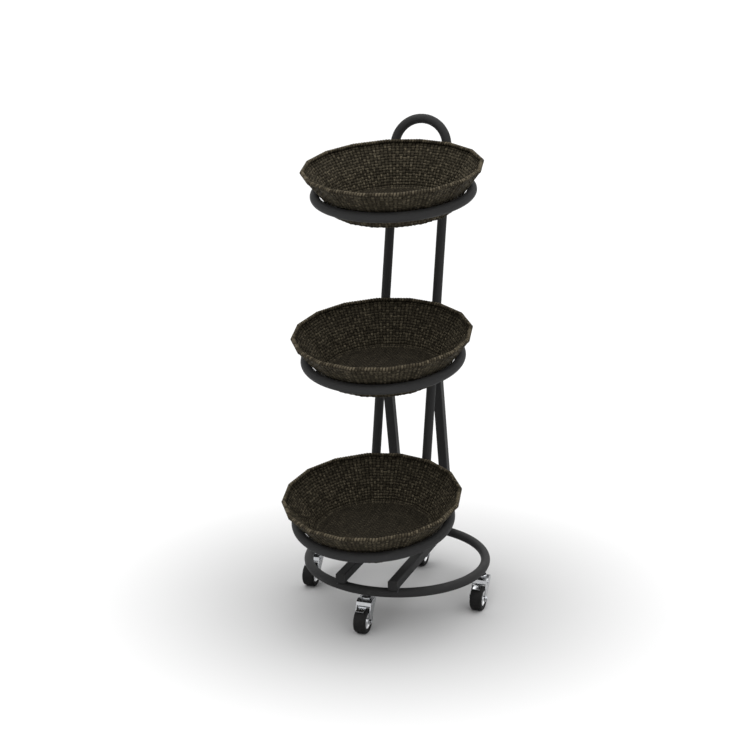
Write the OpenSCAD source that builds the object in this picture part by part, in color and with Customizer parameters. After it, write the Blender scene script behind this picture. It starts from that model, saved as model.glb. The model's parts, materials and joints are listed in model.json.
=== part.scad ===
// Three-tier round produce display rack on four braked swivel casters, in millimetres.
// A ring of round tube carries two floor bars. A leaning hoop stands on the bars and two rear legs
// brace it. Three forward-tilted rings on the front of the hoop each hold a lift-out basket.
// The origin is on the floor under the middle of the base ring, with the baskets towards -Y.

/* [Frame tubes] */
// Outer diameter of the round tube of the rings and the hoop
tube_d = 25; // [19:1:28]
// Wall of the round tube
tube_wall = 1.5; // [1:0.5:3]
// Width of the rectangular tube of the floor bars and rear legs
bar_w = 25; // [18:1:30]
// Depth of the rectangular tube
bar_depth = 25; // [20:1:32]
// Wall of the rectangular tube
bar_wall = 1.5; // [1:0.5:3]
// Outer corner radius of the rectangular tube
bar_corner = 2.5; // [1:0.5:4]
// Thickness of the head of a floor bar's end cap
cap_head = 2; // [1:0.5:4]
// Depth that an end cap's plug reaches into the bar
cap_plug = 12; // [6:1:20]

/* [Base] */
// Radius of the base ring, to the middle of its tube
base_r = 241; // [200:1:300]
// How far a floor bar reaches past the outside of the base ring
bar_overhang = 4; // [0:1:20]

/* [Hoop and legs] */
// Distance between the two uprights of the hoop, middle to middle
upright_gap = 144; // [110:2:170]
// Straight length of an upright, from the floor bar to the start of the arch
upright_len = 1080; // [1060:2:1200]
// Backward lean of the hoop
hoop_lean = 10.2; // [7:0.1:12]
// Place of the hoop's feet along the floor bars
foot_y = -14; // [-40:1:20]
// Height above the floor at which the rear legs meet the uprights
leg_top_h = 709; // [600:5:800]

/* [Tiers] */
// Radius of a display ring, to the middle of its tube
ring_r = 200; // [180:0.5:220]
// Height of the lowest display ring's centre above the floor
lower_tier_h = 288; // [265:1:310]
// Height from one display ring to the next
tier_pitch = 414; // [390:1:430]
// Forward tilt of the rings and baskets
tier_tilt = 9.4; // [5:0.1:12]

/* [Baskets] */
// Number of flat sides round a basket
basket_sides = 16; // [12:1:24]
// Slope of the basket wall above its ring, from upright
wall_slope = 37.5; // [30:0.5:42]
// Slope of the basket wall below its ring, from upright
foot_slope = 29; // [22:0.5:36]
// Height of the top of the wall above the middle of the ring
wall_top = 60; // [45:1:75]
// Depth of the basket's underside below the middle of the ring
basket_drop = 45; // [34:1:55]
// Height of the bevel round the underside
foot_bevel = 7; // [3:1:10]
// Thickness of the woven wall, measured level
basket_wall = 4; // [3:0.5:6]
// Thickness of the woven floor
basket_floor = 6; // [3:0.5:8]
// Diameter of the bound rim
rim_d = 11; // [8:0.5:14]

/* [Caster mounting] */
// Height of a caster, from the floor to the underside of its threaded boss
caster_h = 89; // [86:1:110]
// Outer diameter of the threaded boss in the base ring
boss_d = 16; // [12:1:17]
// Height of the boss
boss_h = 12; // [9:1:13]
// How far the boss stands out under the ring
boss_drop = 2; // [1:0.5:4]
// Diameter of the caster's stem
stem_d = 8; // [6:1:10]

/* [Caster swivel] */
// Diameter of the upper bearing cap
race_d = 27; // [25:1:32]
// Height of the upper bearing cap
race_h = 4.5; // [3.5:0.5:5]
// Gap between the bearing cap and the fork
race_gap = 0.8; // [0.5:0.1:1.5]
// Radius of the circle of balls
ball_track_r = 9; // [8:0.5:10]
// Diameter of a bearing ball
ball_d = 3.5; // [3:0.5:4]
// Number of balls
ball_count = 12; // [8:1:14]
// Diameter of the riveted head under the fork
rivet_d = 13; // [11:1:15]
// Height of the riveted head
rivet_h = 2.5; // [1.5:0.5:4]

/* [Caster fork and brake] */
// Sheet thickness of the fork
fork_t = 2.4; // [2:0.2:3]
// How far the wheel trails the swivel
trail = 30; // [26:1:34]
// Radius of the fork's eye round the axle
eye_r = 9; // [8:0.5:11]
// Length of the fork's flat top behind the swivel
fork_rear = 14; // [13:1:17]
// Height of the turned-down lip at the front of the fork
lip_h = 9.5; // [6:0.5:10]
// Diameter of the axle bolt
axle_d = 6; // [5:0.5:8]
// Size of the hexagon heads of the axle bolt, across the flats
hex_af = 10; // [9:1:13]
// Height of the axle bolt's head and nut
hex_h = 4; // [3:0.5:6]
// Diameter of the brake lever's pin
pin_d = 4; // [3:0.5:5]
// Sheet thickness of the brake lever
lever_t = 2; // [1.5:0.5:2.5]
// Width of the brake pedal
pedal_w = 20; // [14:1:26]
// How far the pedal reaches ahead of the axle
pedal_reach = 22; // [18:1:26]

/* [Caster wheel] */
// Diameter of the wheel
wheel_d = 65; // [60:1:67]
// Width of the tyre
wheel_w = 32; // [24:1:34]
// Chamfer along the tyre's edges
tyre_chamfer = 2.5; // [1.5:0.5:5]
// Radius of the hub, under the tyre
hub_r = 20; // [16:0.5:22]
// Radius of the hub's raised middle
hub_boss_r = 7; // [6:0.5:9]
// Depth of the dish in the hub's face
hub_dish = 3; // [1:0.5:5]

/* [Clearances] */
// Gap left between a basket's corners and its ring, and between parts that move past each other
side_gap = 0.3; // [0.2:0.1:1]
// Radial clearance of a turning fit
turn_gap = 0.08; // [0.03:0.01:0.1]
// Radial clearance of the balls in their tracks
ball_gap = 0.05; // [0.02:0.01:0.08]

/* [Hidden] */
$fn = 96;
TIERS = ["lower", "middle", "top"];
// Each caster's name and its direction from the middle of the base
CASTERS = [["front", -90], ["right", 0], ["rear", 90], ["left", 180]];
FRAME_NODES = ["base_ring", "caster_bosses", "floor_bar_left", "floor_bar_right", "bar_end_caps",
               "hoop", "rear_leg_left", "rear_leg_right"];
TIER_NODES = [for (t = TIERS) each [str("display_ring_", t), str("basket_", t), str("basket_rim_", t)]];
CASTER_PARTS = ["stem", "bearing_cap", "balls", "fork", "axle_bolt", "axle_nut", "brake_pin",
                "brake_lever", "hub", "tyre"];

steel_paint = [0.13, 0.13, 0.14];
weave_brown = [0.20, 0.17, 0.13];
rim_brown = [0.30, 0.26, 0.20];
chrome = [0.80, 0.80, 0.82];
plastic_black = [0.08, 0.08, 0.08];
hub_grey = [0.62, 0.63, 0.64];
tyre_black = [0.07, 0.07, 0.07];

base_z = caster_h + boss_drop + tube_d / 2;
bar_bottom = base_z + tube_d / 2;
bar_top = bar_bottom + bar_depth;
upright_x = upright_gap / 2;
// The floor bars end just outside the base ring
bar_half = sqrt(base_r * base_r - upright_x * upright_x) + tube_d / 2 + bar_overhang;

// Where the rear legs' middle lines meet the uprights', and the tilt that sets the legs' rear faces
// flush with the rear ends of the floor bars
leg_top_y = foot_y + (leg_top_h - bar_top) * tan(hoop_lean);
leg_reach = norm([bar_half - leg_top_y, leg_top_h - bar_top]);
leg_tilt = atan2(bar_half - leg_top_y, leg_top_h - bar_top) - asin(bar_depth / 2 / leg_reach);
// The legs end just behind the middle of the uprights, and are hollowed round them
leg_face = tube_d * 0.35;

// Distance from a ring's centre back to the points that touch the uprights
ring_back = sqrt(ring_r * ring_r - upright_x * upright_x);
function tier_h(i) = lower_tier_h + i * tier_pitch;
function tier_y(h) = foot_y - ring_back * cos(tier_tilt)
    + ((h + ring_back * sin(tier_tilt) - bar_top) * sin(hoop_lean) - tube_d) / cos(hoop_lean);

// The basket wall bends where it sits in the ring, and both its slopes pass the tube at a small gap
seat_offset = (tube_d / 2 + side_gap) / cos((wall_slope - foot_slope) / 2);
seat_angle = (wall_slope + foot_slope) / 2;
seat_r = ring_r - seat_offset * cos(seat_angle);
seat_h = seat_offset * sin(seat_angle);
function wall_r(h) = seat_r + (h - seat_h) * tan(h > seat_h ? wall_slope : foot_slope);
bevel_top = foot_bevel - basket_drop;
rim_r = wall_r(wall_top) - basket_wall / 2;
rim_h = wall_top + rim_d / 2;

// Heights and places in a caster, from the floor and the swivel's axis, with the wheel towards -Y
stem_top = caster_h + boss_h - 2;
race_bottom = caster_h - race_h;
fork_top = race_bottom - race_gap;
ball_z = race_bottom - race_gap / 2;
fork_under = fork_top - fork_t;
rivet_top = fork_under - side_gap;
axle_z = wheel_d / 2;
fork_in = wheel_w / 2 + 2;
fork_out = fork_in + fork_t;
axle_at = [-trail, axle_z];
flat_front = -race_d / 2 - 0.5;
hood_drop = 3.7;
lip_top_y = flat_front - 10;
lip_top_z = fork_top - hood_drop;
lip_foot = [lip_top_y - 1.5, lip_top_z - lip_h];
leg_rear_low = [fork_rear, fork_top - 8];
tread_z = wheel_d;
brake_gap = 2;
lever_low = tread_z + brake_gap;
lever_eye_r = pin_d / 2 + 3;
brake_pin_at = [-trail / 3, lever_low + 1.1 * lever_eye_r];
lever_in = fork_in - side_gap;
// The lever's ears end behind the fork's lip, which hangs lower than their tops
ear_front = lip_foot[0] + fork_t + side_gap;
pedal_bend = -trail - 6;
// Slope of the edges beside the tyre's seat on the hub, and width of the hub's outer lip
bead = 2;
hub_lip = 3;

// The point where a line from p touches a circle of radius r round c, on its left or right
function tangent_point(p, c, r, side) =
    let (a = atan2(p[1] - c[1], p[0] - c[0]) + side * acos(r / norm(p - c)))
    c + r * [cos(a), sin(a)];

module hoop_frame() {
    translate([0, foot_y, bar_top]) rotate([-hoop_lean, 0, 0]) children();
}

module tier_frame(i) {
    translate([0, tier_y(tier_h(i)), tier_h(i)]) rotate([tier_tilt, 0, 0]) children();
}

// A side outline in Y and Z, made solid between two places along X
module side_plate(x0, x1) {
    translate([x0, 0, 0]) rotate([90, 0, 90]) linear_extrude(x1 - x0) children();
}

module along_x(y, z) {
    translate([0, y, z]) rotate([0, 90, 0]) children();
}

module round_section(d) {
    circle(d = d);
}

module pipe_section() {
    difference() {
        round_section(tube_d);
        round_section(tube_d - 2 * tube_wall);
    }
}

module rounded_rectangle(w, h, r) {
    square([w - 2 * r, h], center = true);
    square([w, h - 2 * r], center = true);
    for (x = [-1, 1], y = [-1, 1])
        translate([x * (w / 2 - r), y * (h / 2 - r)]) circle(r = r, $fn = 32);
}

module bar_section() {
    inner_corner = max(bar_corner - bar_wall, 0.5);
    difference() {
        rounded_rectangle(bar_w, bar_depth, bar_corner);
        rounded_rectangle(bar_w - 2 * bar_wall, bar_depth - 2 * bar_wall, inner_corner);
    }
}

module pipe_ring(r) {
    rotate_extrude() translate([r, 0]) pipe_section();
}

module uprights_outside() {
    hoop_frame() for (s = [-1, 1])
        translate([s * upright_x, 0, -tube_d]) cylinder(d = tube_d, h = upright_len + tube_d);
}

module at_caster(angle) {
    translate([base_r * cos(angle), base_r * sin(angle), 0]) children();
}

module base_ring() {
    color(steel_paint) difference() {
        translate([0, 0, base_z]) pipe_ring(base_r);
        for (c = CASTERS)
            at_caster(c[1]) translate([0, 0, base_z - tube_d]) cylinder(d = boss_d, h = tube_d);
    }
}

module caster_bosses() {
    color(steel_paint) for (c = CASTERS) at_caster(c[1]) translate([0, 0, caster_h]) difference() {
        cylinder(d = boss_d, h = boss_h);
        cylinder(d = stem_d, h = 3 * boss_h, center = true);
    }
}

module floor_bar(side) {
    color(steel_paint) translate([side * upright_x, 0, bar_bottom + bar_depth / 2]) rotate([90, 0, 0])
        linear_extrude(2 * (bar_half - cap_head), center = true) bar_section();
}

module bar_end_caps() {
    fit = bar_wall + 0.1;
    color(plastic_black) for (s = [-1, 1], e = [-1, 1])
        translate([s * upright_x, e * bar_half, bar_bottom + bar_depth / 2]) rotate([e * 90, 0, 0]) {
            linear_extrude(cap_head) rounded_rectangle(bar_w, bar_depth, bar_corner);
            linear_extrude(cap_head + cap_plug)
                rounded_rectangle(bar_w - 2 * fit, bar_depth - 2 * fit, max(bar_corner - bar_wall, 0.5));
        }
}

module hoop() {
    color(steel_paint) difference() {
        hoop_frame() {
            for (s = [-1, 1])
                translate([s * upright_x, 0, -tube_d]) linear_extrude(upright_len + tube_d) pipe_section();
            translate([0, 0, upright_len]) rotate([90, 0, 0])
                rotate_extrude(angle = 180) translate([upright_x, 0]) pipe_section();
        }
        translate([-upright_gap, foot_y - upright_gap, bar_top - upright_gap])
            cube([2 * upright_gap, 2 * upright_gap, upright_gap]);
    }
}

module rear_leg(side) {
    spare = 2 * bar_depth;
    color(steel_paint) difference() {
        translate([side * upright_x, leg_top_y, leg_top_h]) rotate([leg_tilt, 0, 0])
            translate([0, 0, -leg_reach - spare]) linear_extrude(leg_reach + 2 * spare) bar_section();
        uprights_outside();
        hoop_frame() translate([-upright_gap, leg_face - base_r, 0])
            cube([2 * upright_gap, base_r, 2 * upright_len]);
        translate([-upright_gap, 0, bar_top - 4 * spare])
            cube([2 * upright_gap, 2 * base_r, 4 * spare]);
    }
}

// The ring is hollowed where it is welded to the fronts of the uprights
module display_ring(i) {
    color(steel_paint) difference() {
        tier_frame(i) pipe_ring(ring_r);
        uprights_outside();
    }
}

function sided_ring(r, h) =
    [for (k = [0 : basket_sides - 1])
        let (a = 360 * k / basket_sides)
        [r * cos(a), r * sin(a), h]];

function band_faces(n, low, high) =
    [for (k = [0 : n - 1])
        let (next = (k + 1) % n)
        [low * n + k, high * n + k, high * n + next, low * n + next]];

// The tray is one skin: up the outside of the wall, over its top, and down the inside to the floor
module basket_tray(i) {
    floor_h = basket_floor - basket_drop;
    inner_h = max(floor_h, bevel_top);
    rings = [
        sided_ring(wall_r(bevel_top) - 2 * foot_bevel, -basket_drop),
        sided_ring(wall_r(bevel_top), bevel_top),
        sided_ring(seat_r, seat_h),
        sided_ring(wall_r(wall_top), wall_top),
        sided_ring(wall_r(wall_top) - basket_wall, wall_top),
        sided_ring(seat_r - basket_wall, seat_h),
        sided_ring(wall_r(inner_h) - basket_wall, inner_h),
        sided_ring(wall_r(inner_h) - basket_wall - foot_bevel, floor_h)
    ];
    n = basket_sides;
    last = len(rings) - 1;
    under = [[for (k = [0 : n - 1]) k]];
    inside = [[for (k = [n - 1 : -1 : 0]) last * n + k]];
    skin = [for (b = [0 : last - 1]) each band_faces(n, b, b + 1)];
    color(weave_brown) tier_frame(i) polyhedron([for (r = rings) each r], concat(under, skin, inside));
}

module basket_rim(i) {
    corner = rim_d / 2 / cos(22.5);
    section = [for (a = [-22.5 : 45 : 292.5]) [rim_r + corner * cos(a), rim_h + corner * sin(a)]];
    rings = [for (p = section) sided_ring(p[0], p[1])];
    n = len(rings);
    skin = [for (b = [0 : n - 1]) each band_faces(basket_sides, b, (b + 1) % n)];
    color(rim_brown) tier_frame(i) polyhedron([for (r = rings) each r], skin);
}

module caster_stem() {
    color(chrome) {
        translate([0, 0, rivet_top - rivet_h]) cylinder(d = stem_d, h = stem_top - rivet_top + rivet_h);
        translate([0, 0, rivet_top - rivet_h]) cylinder(d = rivet_d, h = rivet_h);
    }
}

module ball_track() {
    translate([0, 0, ball_z]) rotate_extrude()
        translate([ball_track_r, 0]) circle(r = ball_d / 2 + ball_gap, $fn = 32);
}

module caster_bearing_cap() {
    color(chrome) difference() {
        rotate_extrude() polygon([
            [stem_d / 2, race_bottom], [race_d / 2, race_bottom], [race_d / 2, caster_h - 1],
            [race_d / 2 - 1.5, caster_h], [stem_d / 2, caster_h]
        ]);
        ball_track();
    }
}

module caster_balls() {
    color(chrome) for (k = [0 : ball_count - 1])
        rotate([0, 0, 360 * k / ball_count]) translate([ball_track_r, 0, ball_z]) sphere(d = ball_d, $fn = 32);
}

// The edges of the legs run into the eye's circle a little inside its outline
module fork_outline() {
    edge_r = 0.96 * eye_r;
    polygon([
        [fork_rear, fork_top], [flat_front, fork_top], [lip_top_y, lip_top_z], lip_foot,
        tangent_point(lip_foot, axle_at, edge_r, 1), tangent_point(leg_rear_low, axle_at, edge_r, -1),
        leg_rear_low
    ]);
    translate(axle_at) circle(r = eye_r);
}

// The space inside the fork, open behind, below and in front under the lip
module fork_space() {
    far = 3 * trail;
    polygon([
        [far, fork_under], [flat_front + 0.4, fork_under], [lip_top_y + fork_t, lip_top_z - fork_t * 0.8],
        [lip_foot[0] + fork_t, lip_foot[1]], [-far, lip_foot[1]], [-far, -far], [far, -far]
    ]);
}

module caster_fork() {
    color(chrome) difference() {
        side_plate(-fork_out, fork_out) fork_outline();
        side_plate(-fork_in, fork_in) fork_space();
        ball_track();
        translate([0, 0, fork_under - 1]) cylinder(r = stem_d / 2 + turn_gap, h = fork_t + 2);
        along_x(-trail, axle_z) cylinder(d = axle_d, h = 4 * fork_out, center = true);
        along_x(brake_pin_at[0], brake_pin_at[1]) cylinder(d = pin_d, h = 4 * fork_out, center = true);
    }
}

module caster_axle_bolt() {
    color(chrome) along_x(-trail, axle_z) {
        translate([0, 0, -fork_out]) cylinder(d = axle_d, h = 2 * fork_out + hex_h + 1);
        translate([0, 0, -fork_out - hex_h]) cylinder(d = hex_af / cos(30), h = hex_h, $fn = 6);
    }
}

module caster_axle_nut() {
    color(chrome) along_x(-trail, axle_z) translate([0, 0, fork_out]) difference() {
        cylinder(d = hex_af / cos(30), h = hex_h, $fn = 6);
        translate([0, 0, -1]) cylinder(d = axle_d, h = hex_h + 2);
    }
}

module caster_brake_pin() {
    head_h = 1.2;
    color(chrome) along_x(brake_pin_at[0], brake_pin_at[1]) {
        cylinder(d = pin_d, h = 2 * fork_out, center = true);
        for (s = [-1, 1])
            translate([0, 0, s * (fork_out + head_h / 2)]) cylinder(d = pin_d + 3, h = head_h, center = true);
    }
}

// The pedal's underside runs level over the tread and then bends down towards its tip
module lever_outline() {
    knee = [pedal_bend - 8, lever_low - 1];
    tip = [-trail - pedal_reach, lever_low - 3.5];
    rear_y = brake_pin_at[0] + lever_eye_r;
    polygon([
        [rear_y, lever_low], [pedal_bend, lever_low], knee, tip,
        tip + [-0.35 * lever_t, lever_t], knee + [0.2 * lever_t, lever_t],
        [pedal_bend, lever_low + lever_t], [rear_y, lever_low + lever_t]
    ]);
}

module lever_ear_outline() {
    edge_r = 0.9 * lever_eye_r;
    translate(brake_pin_at) circle(r = lever_eye_r);
    polygon([
        [brake_pin_at[0] + edge_r, brake_pin_at[1]], [brake_pin_at[0] - edge_r, brake_pin_at[1]],
        [ear_front, lever_low + lever_t], [ear_front, lever_low], [brake_pin_at[0] + edge_r, lever_low]
    ]);
}

// The lever narrows to the pedal's width under the fork's lip
module pedal_sides() {
    cut = 2 * trail;
    for (s = [-1, 1])
        translate([s * (pedal_w / 2 + lever_in), ear_front - fork_t / 2 - cut / 2, lever_low])
            cube([2 * lever_in, cut, pedal_reach], center = true);
}

module caster_brake_lever() {
    color(chrome) difference() {
        union() {
            difference() {
                side_plate(-lever_in, lever_in) lever_outline();
                pedal_sides();
            }
            for (x = [-lever_in, lever_in - lever_t]) side_plate(x, x + lever_t) lever_ear_outline();
        }
        along_x(brake_pin_at[0], brake_pin_at[1])
            cylinder(r = pin_d / 2 + turn_gap, h = 4 * lever_in, center = true);
    }
}

module caster_hub() {
    half = wheel_w / 2 - bead;
    boss_half = fork_in - side_gap;
    bore = axle_d / 2 + turn_gap;
    color(hub_grey) along_x(-trail, axle_z) rotate_extrude() polygon([
        [bore, -boss_half], [hub_boss_r, -boss_half], [hub_boss_r, hub_dish - half],
        [hub_r - hub_lip, hub_dish - half], [hub_r, -half], [hub_r, half],
        [hub_r - hub_lip, half - hub_dish], [hub_boss_r, half - hub_dish],
        [hub_boss_r, boss_half], [bore, boss_half]
    ]);
}

module caster_tyre() {
    r = wheel_d / 2;
    w = wheel_w / 2;
    color(tyre_black) along_x(-trail, axle_z) rotate_extrude() polygon([
        [hub_r, bead - w], [hub_r + bead, -w], [r - tyre_chamfer, -w], [r, tyre_chamfer - w],
        [r, w - tyre_chamfer], [r - tyre_chamfer, w], [hub_r + bead, w], [hub_r, w - bead]
    ]);
}

base_ring();
caster_bosses();
floor_bar(-1);  // floor_bar_left
floor_bar(1);  // floor_bar_right
bar_end_caps();
hoop();
rear_leg(-1);  // rear_leg_left
rear_leg(1);  // rear_leg_right

for (i = [0 : 2]) {
    display_ring(i);
    basket_tray(i);
    basket_rim(i);
}

for (c = CASTERS) at_caster(c[1]) {
    caster_stem();
    caster_bearing_cap();
    caster_balls();
    caster_fork();
    caster_axle_bolt();
    caster_axle_nut();
    caster_brake_pin();
    caster_brake_lever();
    caster_hub();
    caster_tyre();
}
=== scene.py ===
import json
import math

import bpy
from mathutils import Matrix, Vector


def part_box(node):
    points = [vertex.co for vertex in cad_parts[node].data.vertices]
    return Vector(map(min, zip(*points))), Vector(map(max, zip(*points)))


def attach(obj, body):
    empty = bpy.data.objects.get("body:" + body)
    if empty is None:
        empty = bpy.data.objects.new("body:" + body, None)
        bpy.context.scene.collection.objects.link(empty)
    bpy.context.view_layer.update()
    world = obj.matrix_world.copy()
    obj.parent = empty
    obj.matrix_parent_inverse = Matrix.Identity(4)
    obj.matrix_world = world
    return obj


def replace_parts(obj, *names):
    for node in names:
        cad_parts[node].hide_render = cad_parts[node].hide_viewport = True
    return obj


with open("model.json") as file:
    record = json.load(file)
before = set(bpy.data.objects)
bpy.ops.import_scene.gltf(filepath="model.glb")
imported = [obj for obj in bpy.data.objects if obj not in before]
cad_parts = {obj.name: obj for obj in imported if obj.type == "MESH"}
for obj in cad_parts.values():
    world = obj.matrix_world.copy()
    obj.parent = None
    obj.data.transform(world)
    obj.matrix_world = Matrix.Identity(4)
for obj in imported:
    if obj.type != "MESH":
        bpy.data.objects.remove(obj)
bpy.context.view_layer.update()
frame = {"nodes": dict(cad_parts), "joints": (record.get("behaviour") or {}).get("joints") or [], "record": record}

bl_info = {
    "name": "Produce rack looks",
    "version": (1, 0, 0),
    "blender": (4, 5, 0),
    "location": "3D View > Sidebar > Rack",
    "description": "Weaves the baskets, paints the tube and plates the casters of a three-tier produce rack",
    "category": "Object",
}

TIERS = ("lower", "middle", "top")
CASTERS = ("front", "right", "rear", "left")


def length_setting(name, description, default):
    """A length that a user can set."""
    return bpy.props.FloatProperty(
        name=name, description=description, default=default, unit="LENGTH", subtype="DISTANCE")


def angle_setting(name, description, default):
    """An angle that a user can set."""
    return bpy.props.FloatProperty(
        name=name, description=description, default=default, unit="ROTATION", subtype="ANGLE")


def colour_setting(name, description, default):
    """A colour that a user can set."""
    return bpy.props.FloatVectorProperty(
        name=name, description=description, default=default, subtype="COLOR", size=3, min=0, max=1)


class RackBaskets(bpy.types.PropertyGroup):
    """Sizes of the woven baskets. The heights are above the middle of the ring that holds the basket."""
    sides: bpy.props.IntProperty(
        name="Sides", description="Flat sides round a basket", default=16, min=8)
    stakes_per_side: bpy.props.IntProperty(
        name="Stakes per side", description="Upright strands in each flat side", default=8, min=2)
    rows: bpy.props.IntProperty(
        name="Rows", description="Rows of weaving up the wall", default=17, min=4)
    foot_radius: length_setting(
        "Foot radius", "Radius at the corners where the wall leaves the floor", 0.1512)
    foot_height: length_setting("Foot height", "Height of the floor's edge", -0.0420)
    foot_length: length_setting("Foot length", "Length of the slow bend between floor and wall", 0.0118)
    foot_slope: angle_setting("Foot slope", "Rise of the bend, from level", math.radians(19.8))
    lower_length: length_setting("Lower wall", "Length of the wall from the bend up to the ring", 0.0515)
    lower_slope: angle_setting(
        "Lower slope", "Rise of the wall below the ring, from level", math.radians(61))
    upper_length: length_setting("Upper wall", "Length of the wall from the ring up to the rim", 0.0681)
    upper_slope: angle_setting(
        "Upper slope", "Rise of the wall above the ring, from level", math.radians(52.5))
    strand: length_setting("Strand thickness", "Thickness of a flat strand in the wall", 0.0015)
    wave: length_setting("Wave", "How far a strand swings to each side of the wall's middle", 0.0009)
    floor_radius: length_setting("Floor radius", "Radius of the woven floor", 0.1525)
    floor_height: length_setting("Floor height", "Height of the middle of the woven floor", -0.0416)
    floor_pitch: length_setting("Floor pitch", "Distance between the strands of the floor", 0.0060)
    floor_strand: length_setting("Floor strand", "Thickness of a flat strand in the floor", 0.0018)
    floor_wave: length_setting(
        "Floor wave", "How far a strand swings above and below the floor's middle", 0.0010)
    rim_radius: length_setting("Rim radius", "Radius of the bound rim at its corners", 0.2279)
    rim_height: length_setting("Rim height", "Height of the middle of the rim", 0.0655)
    rim_core: length_setting("Rim core", "Radius of the rods inside the rim", 0.0043)
    wraps_per_side: bpy.props.IntProperty(
        name="Wraps per side", description="Turns of the binding along one side of the rim", default=12,
        min=4)
    binding: length_setting("Binding thickness", "Thickness of the binding strand", 0.0014)


class RackFinishes(bpy.types.PropertyGroup):
    """Colours and gloss of the rack."""
    steel: colour_setting("Painted steel", "Colour of the painted tube", (0.037, 0.037, 0.0372))
    steel_gloss: bpy.props.FloatProperty(
        name="Paint roughness", description="Roughness of the paint", default=0.52, min=0, max=1,
        subtype="FACTOR")
    strand_dark: colour_setting("Dark strand", "Darkest colour of the weaving", (0.0105, 0.0087, 0.0055))
    strand_light: colour_setting("Light strand", "Lightest colour of the weaving", (0.150, 0.128, 0.087))
    binding_dark: colour_setting(
        "Dark binding", "Darkest colour of the rim's binding", (0.018, 0.0147, 0.0093))
    binding_light: colour_setting(
        "Light binding", "Lightest colour of the rim's binding", (0.125, 0.105, 0.072))
    cap: colour_setting("End cap", "Colour of the plastic end caps", (0.026, 0.026, 0.026))
    plating: colour_setting("Plating", "Colour of the bright plating", (0.52, 0.53, 0.545))
    bearing: colour_setting("Bearing steel", "Colour of the balls in the bearings", (0.55, 0.56, 0.57))
    hub: colour_setting("Hub", "Colour of the wheel hubs", (0.85, 0.86, 0.87))
    tyre: colour_setting("Tyre", "Colour of the tyres", (0.0125, 0.0125, 0.0125))


class RackStudio(bpy.types.PropertyGroup):
    """Camera, floor with a painted shadow round the rack, and light."""
    camera_place: bpy.props.FloatVectorProperty(
        name="Camera place", description="Where the camera stands", subtype="XYZ", unit="LENGTH", size=3,
        default=(1.32001, -3.82509, 1.77046))
    camera_round: angle_setting("Camera azimuth", "Angle of the view round the rack", 0.3473)
    camera_down: angle_setting("Camera tilt", "Angle at which the camera looks down", 0.2768)
    camera_lens: bpy.props.FloatProperty(
        name="Lens", description="Focal length for a 36 mm sensor", unit="CAMERA", default=76.312)
    floor: colour_setting("Floor", "Colour of the floor", (0.86, 0.86, 0.86))
    # Painted shadow: the floor's colour darkens towards a middle near the rack. It is darkest up to one distance
    # and has faded out at another.
    floor_shadow: colour_setting(
        "Floor near the rack", "Colour of the floor below the rack", (0.55, 0.55, 0.55))
    shadow_middle: bpy.props.FloatVectorProperty(
        name="Floor middle", description="Where the floor is darkest", subtype="XYZ", unit="LENGTH", size=3,
        default=(-0.030, -0.005, 0))
    shadow_core: length_setting("Floor dark", "Distance up to which the floor is darkest", 0.15)
    shadow_fade: length_setting("Floor fade", "Distance at which the floor has its own colour", 0.80)
    surround: bpy.props.FloatProperty(
        name="Surround", description="Strength of the pale light from all round", default=0.03, min=0)
    mirrored: bpy.props.FloatProperty(
        name="Mirrored surround", description="Strength of the surround that polished metal shows",
        default=0.75, min=0)
    overhead: bpy.props.FloatProperty(
        name="Overhead light", description="Strength of the wide light above the rack", default=3.75, min=0)
    overhead_turn: bpy.props.FloatVectorProperty(
        name="Overhead turn", description="Which way the light above the rack leans", subtype="EULER",
        unit="ROTATION", size=3, default=(math.radians(2), math.radians(1), 0))
    softness: angle_setting("Softness", "How wide each light is, seen from the rack", math.radians(108))
    front: bpy.props.FloatProperty(
        name="Front light", description="Strength of the wide low light from the camera's side",
        default=0.35, min=0)
    front_turn: bpy.props.FloatVectorProperty(
        name="Front turn", description="Which way the front light points", subtype="EULER",
        unit="ROTATION", size=3, default=(math.radians(68), 0, math.radians(10)))


class Field:
    """A value inside a node tree that can be written with ordinary sums."""

    def __init__(self, tree, source):
        self.tree = tree
        self.source = source

    def math(self, operation, *others):
        node = self.tree.nodes.new("ShaderNodeMath")
        node.operation = operation
        for socket, value in zip(node.inputs, (self,) + others):
            feed(self.tree, value, socket)
        return Field(self.tree, node.outputs[0])

    def __add__(self, other):
        return self.math("ADD", other)

    def __sub__(self, other):
        return self.math("SUBTRACT", other)

    def __mul__(self, other):
        return self.math("MULTIPLY", other)

    def __truediv__(self, other):
        return self.math("DIVIDE", other)

    def __mod__(self, other):
        return self.math("FLOORED_MODULO", other)


def feed(tree, value, socket):
    """Gives a socket a field, another socket's output, or a plain value."""
    if isinstance(value, Field):
        value = value.source
    if isinstance(value, bpy.types.NodeSocket):
        tree.links.new(value, socket)
    else:
        socket.default_value = value


def add_node(tree, kind, inputs=(), **properties):
    """A new node with its properties set and its inputs fed, by name or by number."""
    node = tree.nodes.new(kind)
    for name, value in properties.items():
        setattr(node, name, value)
    for name, value in dict(inputs).items():
        feed(tree, value, node.inputs[name])
    return node


def vector(tree, x, y, z):
    return add_node(tree, "ShaderNodeCombineXYZ", {"X": x, "Y": y, "Z": z}).outputs[0]


def new_group(name, kind, inputs, outputs):
    """A node group with named sockets. Each input is (name, socket type, default or None)."""
    tree = bpy.data.node_groups.new(name, kind)
    for label, socket_type, default in inputs:
        socket = tree.interface.new_socket(label, in_out="INPUT", socket_type=socket_type)
        if default is not None:
            socket.default_value = default
    for label, socket_type in outputs:
        tree.interface.new_socket(label, in_out="OUTPUT", socket_type=socket_type)
    entry = tree.nodes.new("NodeGroupInput")
    leave = tree.nodes.new("NodeGroupOutput")
    return tree, {s.name: Field(tree, s) for s in entry.outputs if s.name}, leave


NUMBER = "NodeSocketFloat"
COUNT = "NodeSocketInt"
COLOUR = "NodeSocketColor"
VECTOR = "NodeSocketVector"


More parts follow.
